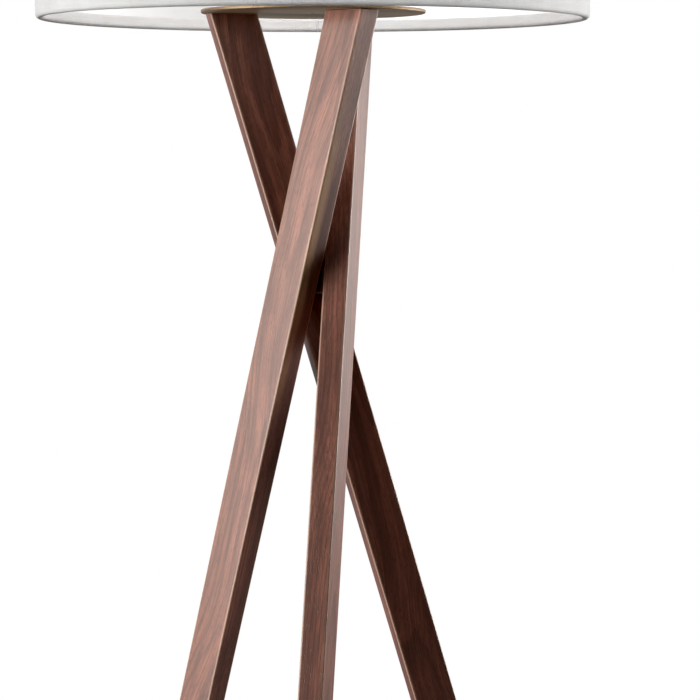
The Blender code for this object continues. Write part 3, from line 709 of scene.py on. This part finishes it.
foot_x, strip, strip_half, arm_top, harp_wire, strip_bend = 0.026, 0.0015, 0.006, 0.0145, 0.0016, 0.006
middle = levels("harp_saddle")[0] + strip / 2
half_saddle = np.array([(foot_x, middle + arm_top), (foot_x, middle + strip_bend), (foot_x, middle),
                        (foot_x - strip_bend, middle)])
saddle_line = np.vstack([half_saddle * (-1, 1), half_saddle[::-1]])
saddle_path = smooth_path(spread_out(axis_x + saddle_line[:, 0], axis_y, saddle_line[:, 1]), 90)
strip_section = eased([(-strip_half, -strip / 2), (strip_half, -strip / 2), (strip_half, strip / 2),
                       (-strip_half, strip / 2)], 0.0004)
tang_low, tang_top = middle + arm_top - 0.004, middle - strip / 2 + 0.025
tang = eased([(0.0, tang_low), (harp_wire, tang_low), (harp_wire, tang_top), (0.0, tang_top)], 0.0003)
parts = [swept(saddle_path, strip_section, (0, 1, 0))]
for way in (-1, 1):
    parts.append(turned(tang, (axis_x + way * foot_x, axis_y, 0.0), 20))
make_piece("saddle_strip", parts, brass, "stand", ["harp_saddle"])

harp_straight, harp_widest_z, harp_wide, harp_top_z = 1.245, 1.335, 0.062, 1.458
stud_radius, stud_top = 0.0031, levels("harp")[1]
seat_top, seat_radius, tang_gap = stud_top - 0.014, 0.0075, 0.0003
rise = np.linspace(0.0, 1.0, 40)[:-1]
side_x = foot_x + (harp_wide - foot_x) * rise ** 2 * (3 - 2 * rise)
side_z = harp_straight + (harp_widest_z - harp_straight) * rise
turn = np.linspace(0.0, math.pi, 90)
half = np.column_stack([[foot_x, *side_x], [tang_top + tang_gap, *side_z]])
arch_z = harp_widest_z + (harp_top_z - harp_widest_z) * np.sin(turn)
arch = np.column_stack([harp_wide * np.cos(turn), arch_z])
outline = np.vstack([half, arch, half[::-1] * (-1, 1)])
harp_path = spread_out(axis_x + outline[:, 0], axis_y, outline[:, 1])
seat = filled(eased([(0.0, stud_top), (stud_radius, stud_top), (stud_radius, seat_top),
                     (seat_radius, seat_top), (seat_radius, seat_top - 0.0042),
                     (0.0060, seat_top - 0.0052), (0.0, seat_top - 0.0052)], 0.0006), 0.00015)
thread = threaded(seat_top + 0.0004, stud_top + 0.0004, thread_pitch, thread_deep, 0.002)
stud = turned(seat, axis_foot, 36, thread)
wire = swept(harp_path, round_section(harp_wire), (0, 1, 0))
make_piece("harp_wire_loop", [wire, stud], brass, "stand", ["harp"])

sleeve = eased([(0.0033, 0.020), (0.0033, 0.0185), (0.0030, 0.0165), (0.0030, 0.002), (0.0033, 0.0),
                (0.0020, 0.0), (0.0020, 0.020)], 0.0004)
for way, where in ((-1, "left"), (1, "right")):
    sleeve_at = (axis_x + way * foot_x, axis_y, levels("harp_sleeve_" + where)[0])
    turned_piece(f"sleeve_{where}_ferrule", f"harp_sleeve_{where}", sleeve, sleeve_at, 32, brass,
                 f"harp_sleeve_{where}")


# ---- socket ----
# A medium screw socket: a spun brass cap and shell that snap together, a fibre card sleeve that
# insulates them, a moulded body, the threaded screw shell and the sprung centre contact.

socket_at = (axis_x, axis_y, levels("socket_cap")[0])
card, _ = drifting("fibre_card", (0.24, 0.155, 0.085), (0.33, 0.225, 0.135), (400.0, 400.0, 60.0),
                   (0.75, 0.9), 0.0001)
cap = eased([(0.0170, 0.022), (0.0170, 0.014), (0.0145, 0.0095), (0.0085, 0.0072), (0.0075, 0.0060),
             (0.0075, 0.0), (0.0052, 0.0), (0.0052, 0.0080), (0.0139, 0.0104), (0.0162, 0.0146),
             (0.0162, 0.022)], 0.0012, 6)
shell = eased([(0.0170, 0.062), (0.0170, 0.0608), (0.0164, 0.0600), (0.0164, 0.0350), (0.01685, 0.0340),
               (0.01685, 0.0325), (0.0164, 0.0315), (0.0164, 0.0235), (0.0159, 0.0224),
               (0.0159, 0.0152), (0.0151, 0.0152), (0.0151, 0.062)], 0.0005, 5)
sleeve = eased([(0.0148, 0.0154), (0.0148, 0.060), (0.0142, 0.060), (0.0142, 0.0154)], 0.0001)
moulding = eased([(0.0, 0.031), (0.0138, 0.031), (0.0138, 0.017), (0.0120, 0.015), (0.0, 0.015)],
                 0.0006)
lining = eased([(0.0139, 0.0313), (0.0139, 0.057), (0.0134, 0.057), (0.0134, 0.0313)], 0.0001)
lining = filled(lining, 0.0005)
base_pitch = 0.0036
lining_thread = threaded(0.0325, 0.0560, base_pitch, -0.0002)
contact = eased([(0.0, 0.0325), (0.0022, 0.0322), (0.0040, 0.0315), (0.0040, 0.0313), (0.0, 0.0313)],
                0.0003)
for name, node, profile, steps, finish, slot, shape in (
        ("cap_spun", "socket_cap", cap, 64, brass, "lamp_brass", None),
        ("shell_spun", "socket_shell", shell, 64, brass, "lamp_brass", None),
        ("card_sleeve", "insulating_sleeve", sleeve, 64, card, "insulating_card", None),
        ("moulded_body", "socket_body", moulding, 48, black, "moulded_black", None),
        ("screw_shell", "screw_shell", lining, 48, brass, "lamp_brass", lining_thread),
        ("centre_contact", "centre_contact", contact, 24, brass, "lamp_brass", None)):
    turned_piece("socket_" + name, node, profile, socket_at, steps, finish, shape=shape)


# ---- switch key ----
# A moulded black thumb key on a thin shaft that enters the shell's side and turns the switch inside.
# Its knob is fluted for grip.

def fluted(radius, angle, height):
    """Ten flutes for turned(): outside 4 mm the radius shrinks by a rounded wave of the angle."""
    return np.where(radius > 0.004, radius * (0.955 + 0.045 * np.cos(10 * angle)), radius + 0 * angle)


key_z = sum(levels("switch_key")) / 2
key = filled(eased([(0.0, 0.0310), (0.0045, 0.0310), (0.0052, 0.0290), (0.0058, 0.0195),
                    (0.0050, 0.0180), (0.0016, 0.0180), (0.0016, 0.0065), (0.0, 0.0065)], 0.0007,
                   steps=5), 0.0012)
points, faces = turned(key, steps=60, shape=fluted)
points = np.column_stack([points[:, 0] + axis_x, axis_y - points[:, 2], points[:, 1] + key_z])
make_piece("key_fluted_knob", [outward(points, faces)], black, "switch_key", ["switch_key"])


# ---- bulb ----
# A round household bulb: blown glass frosted on the inside, cemented into a bright threaded base
# with a black glass insulator and a soldered tip.

frosted, tree, shader = new_finish("frosted_glass", 0.34)
place = add_node(tree, "TexCoord").outputs["Object"]
cloud = stretched_noise(tree, place, (70.0,) * 3, 3.0)
frost = mixed(tree, cloud, (0.90, 0.89, 0.86, 1.0), (0.96, 0.955, 0.94, 1.0))
tree.links.new(frost, shader["Base Color"])
shader["Transmission Weight"].default_value = 0.25
shader["IOR"].default_value = 1.5
bumped(tree, shader, stretched_noise(tree, place, (1400.0,) * 3, 2.0), 0.00001)
bright, _ = drifting("bright_base", (0.66, 0.66, 0.67), (0.80, 0.80, 0.80), (300.0,) * 3, (0.18, 0.32),
                     0.00002, metallic=1.0)
ball_radius, ball_z, neck_radius, neck_z = 0.030, 0.110, 0.0121, 0.058
glass_low, glass_wall = 0.045, 0.0008
# The neck is a cubic curve: it leaves the ball along its slope and comes upright into the base.
ball_end = math.radians(40.0)
fall = np.linspace(math.radians(90.0), -ball_end, 30)
ball = np.column_stack([ball_radius * np.cos(fall), ball_z + ball_radius * np.sin(fall)])
ball[0, 0] = 0.0
share = np.linspace(0.0, 1.0, 14)[1:, None]
start, end = ball[-1], np.array([neck_radius, neck_z])
first = start - 0.010 * np.array([math.sin(ball_end), math.cos(ball_end)])
second = end + (0.0, 0.009)
neck = ((1 - share) ** 3 * start + 3 * share * (1 - share) ** 2 * first
        + 3 * share ** 2 * (1 - share) * second + share ** 3 * end)
outer = np.vstack([ball, neck, [(neck_radius, glass_low)]])
slope = np.gradient(outer, axis=0)
slope /= np.linalg.norm(slope, axis=1, keepdims=True)
inner = outer + glass_wall * np.column_stack([slope[:, 1], -slope[:, 0]])
inner[0] = (0.0, outer[0, 1] - glass_wall)
inner[-1] = (neck_radius - glass_wall, glass_low)
glass = np.vstack([outer, inner[::-1]])
screw_base = eased([(0.0130, 0.0590), (0.0130, 0.0380), (0.0070, 0.0355), (0.0066, 0.0362),
                    (0.0125, 0.0386), (0.0125, 0.0590)], 0.0003)
screw_base = filled(screw_base, 0.0005)
base_thread = threaded(0.0385, 0.0575, base_pitch, 0.0006, 0.0122)
insulator = eased([(0.0, 0.0380), (0.0062, 0.0370), (0.0062, 0.0352), (0.0042, 0.0344), (0.0, 0.0344)],
                  0.0005)
tip = eased([(0.0, 0.0341), (0.0032, 0.0341), (0.0022, 0.0331), (0.0, 0.0328)], 0.0004)
turned_piece("bulb_frosted_glass", "bulb_glass", glass, socket_at, 56, frosted,
             sharp=60.0)
turned_piece("bulb_screw_base", "bulb_base", screw_base, socket_at, 48, bright,
             shape=base_thread)
turned_piece("bulb_glass_insulator", "bulb_insulator", insulator, socket_at, 32, black)
turned_piece("bulb_solder_tip", "bulb_tip", tip, socket_at, 32, bright)


# ---- shade cover ----
# One length of slubbed off-white linen, pressed onto the liner and lapped over itself in a glued seam
# at the back. Its top and bottom edges are rolled round the wire rings and glued up inside.

linen, tree, shader = new_finish("slubbed_linen", roughness=0.88)
place = add_node(tree, "Attribute", attribute_name="cloth_place").outputs["Vector"]
spot = add_node(tree, "SeparateXYZ", {0: place})
yarn_pitch = 0.00075
warp_drift = stretched_noise(tree, place, (500.0, 22.0, 1.0), 2.0)
weft_drift = stretched_noise(tree, place, (22.0, 500.0, 1.0), 2.0)
warp, weft = (maths(tree, "SINE", maths(tree, "MULTIPLY_ADD", spot.outputs[way], math.pi / yarn_pitch,
                                        maths(tree, "MULTIPLY", drift, 2.2)))
              for way, drift in (("X", warp_drift), ("Y", weft_drift)))
over = maths(tree, "MULTIPLY_ADD", maths(tree, "MULTIPLY", warp, weft), 0.5, 0.5)
warp_crown, weft_crown = (maths(tree, "ABSOLUTE", yarn) for yarn in (warp, weft))
crown = add_node(tree, "Mix", {0: over, 2: warp_crown, 3: weft_crown}, data_type="FLOAT").outputs[0]
across_slub = stretched_noise(tree, place, (28.0, 760.0, 1.0), 3.0)
upright_slub = stretched_noise(tree, place, (760.0, 28.0, 1.0), 3.0)
slub = maths(tree, "ADD", ramp(tree, across_slub, 0.50, 0.72), ramp(tree, upright_slub, 0.52, 0.74))
mottle = stretched_noise(tree, place, (30.0, 44.0, 1.0), 4.0)
cream, white, flax, weave_gap_shade = ((*tone, 1.0) for tone in ((0.78, 0.765, 0.75), (0.82, 0.815, 0.815),
                                                     (0.66, 0.63, 0.60), (0.56, 0.54, 0.52)))
cloth_tone = mixed(tree, ramp(tree, mottle, 0.35, 0.65), cream, white)
cloth_tone = mixed(tree, maths(tree, "MULTIPLY", slub, 0.22), cloth_tone, flax)
# Between the yarn crowns the cloth is darkened: a painted shade in the gaps of the weave.
cloth_tone = mixed(tree, ramp(tree, crown, 0.75, 0.10, 0.0, 0.30), cloth_tone, weave_gap_shade)
tree.links.new(cloth_tone, shader["Base Color"])
shader["Sheen Weight"].default_value = 0.15
shader["Sheen Roughness"].default_value = 0.6
bumped(tree, shader, maths(tree, "MULTIPLY_ADD", slub, 0.6, crown), 0.00022)

shade_radius, cloth_thick, hem_bend, hem_lip, seam_lap = 0.254, 0.0009, 0.00345, 0.009, 0.014
lip_end, lap_lift, lap_blend, round_steps = 0.2511, 0.0011, 0.02, 361
cover_low, cover_high = levels("shade_cover")
low_bend, high_bend = cover_low + hem_bend, cover_high - hem_bend
bend = np.linspace(0.0, math.pi, 13)
lip_radius, bend_radius = shade_radius - 2 * hem_bend, shade_radius - hem_bend
lip = np.linspace(1.0, 0.0, 5)[:-1, None]
low_lip = np.array([lip_radius, low_bend]) + lip * np.array([lip_end - lip_radius, hem_lip])
roll_out, roll_up = hem_bend * np.cos(bend), hem_bend * np.sin(bend)
low_roll = np.column_stack([bend_radius - roll_out, low_bend - roll_up])
wall = np.column_stack([np.full(60, shade_radius), np.linspace(low_bend, high_bend, 62)[1:-1]])
high_roll = np.column_stack([bend_radius + roll_out, high_bend + roll_up])
high_lip = np.array([lip_radius, high_bend]) + lip[::-1] * np.array([lip_end - lip_radius, -hem_lip])
cloth_line = np.vstack([low_lip, low_roll, wall, high_roll, high_lip])
climb = np.concatenate([[0.0], np.cumsum(np.linalg.norm(np.diff(cloth_line, axis=0), axis=1))])
round_by = 2 * math.pi + seam_lap / shade_radius
from_seam = np.linspace(0.0, round_by, round_steps)
angle = math.pi / 2 + from_seam
lapped = rising(from_seam, 2 * math.pi - lap_blend, lap_blend)
lift = lap_lift * lapped ** 2 * (3 - 2 * lapped)
radius = cloth_line[:, :1] + lift
points = spread_out(axis_x + radius * np.cos(angle), axis_y + radius * np.sin(angle), cloth_line[:, 1:])
cloth_place = spread_out(shade_radius * from_seam, climb[:, None], 0.0)
cover = make_piece("shade_linen_cover", [lattice(points, wrap_round=False)], linen, "shade",
                   ["shade_cover"], {"cloth_place": cloth_place.reshape(-1, 3)},
                   sharp=70.0)
for group, state in ((lit_shade, "INCLUDE"), (shadowed_shade, "EXCLUDE")):
    group.objects.link(cover)
    group.collection_objects[0].light_linking.link_state = state
thick = cover.modifiers.new("cloth", "SOLIDIFY")
thick.thickness, thick.offset = cloth_thick, -1.0


# ---- shade liner ----
# A strip of smooth white styrene, 0.6 mm thick, that the linen is laminated to. It gives the drum its
# stiffness and its bright inside.

styrene, _ = drifting("white_styrene", (0.90, 0.90, 0.895), (0.93, 0.93, 0.93), (14.0, 14.0, 5.0),
                      (0.42, 0.55), 0.00002)
liner_low, liner_high = levels("shade_liner")
liner_out, liner_in = 0.2528, 0.2522
liner = filled(np.array([(liner_out, liner_low), (liner_out, liner_high), (liner_in, liner_high),
                         (liner_in, liner_low)]), 0.03)
turned_piece("liner_styrene_drum", "shade_liner", liner, axis_foot, 240, styrene,
             "shade")


# ---- shade rings and spider ----
# White enamelled steel wire: a plain ring inside the bottom hem, and a top ring with three arms
# welded to it, which meet at a drilled washer that drops over the harp's stud.

enamel, shader = drifting("white_enamel", (0.76, 0.75, 0.73), (0.82, 0.815, 0.80), (60.0,) * 3,
                          (0.22, 0.34), 0.00004)
shader["Coat Weight"].default_value = 0.4
rim_radius, rim_wire, arm_wire = 0.2501, 0.0018, 0.0015


def rim_ring(height):
    """Round wire bent in a circle: a circle about the shade's rim radius, turned once."""
    return turned(round_section(rim_wire, 12) + (rim_radius, height), axis_foot, 200)


make_piece("shade_ring_lower", [rim_ring(low_bend)], enamel, "shade", ["shade_bottom_ring"])
washer_low, washer_high = levels("spider_washer")
arm_z, washer_edge, washer_hole = (washer_low + washer_high) / 2, 0.0140, 0.0036
washer = eased([(washer_edge, washer_low), (washer_edge, washer_high), (washer_hole, washer_high),
                (washer_hole, washer_low)], 0.0004)
spider = [rim_ring(high_bend), turned(washer, axis_foot, 48)]
run = smooth_path([(0.0125, arm_z), (0.12, arm_z), (0.2260, arm_z), (0.2400, arm_z + 0.0045),
                   (rim_radius, high_bend)], 60)
for arm in np.radians([90.0, 210.0, 330.0]):
    out = np.array([math.cos(arm), math.sin(arm), 0.0])
    spots = axis_foot + run[:, :1] * out + run[:, 1:] * np.array([0.0, 0.0, 1.0])
    spider.append(swept(spots, round_section(arm_wire, 12), np.cross([0.0, 0.0, 1.0], out)))
make_piece("shade_spider_welded", spider, enamel, "shade",
           ["shade_top_ring", "spider_washer", "spider_arm_a", "spider_arm_b", "spider_arm_c"])


# ---- finial ----
# A small turned knob in the same satin nickel as the plate. It screws onto the harp's stud and holds
# the shade down.

knob = eased([(0.0, 0.0250), (0.0050, 0.0243), (0.0086, 0.0205), (0.0096, 0.0160), (0.0086, 0.0118),
              (0.0058, 0.0088), (0.0056, 0.0050), (0.0085, 0.0036), (0.0085, 0.0), (0.0034, 0.0),
              (0.0034, 0.0128), (0.0, 0.0128)], 0.0022, steps=7)
turned_piece("finial_turned_knob", "finial", knob, (axis_x, axis_y, levels("finial")[0]), 56,
             satin_nickel, "finial", sharp=45.0)
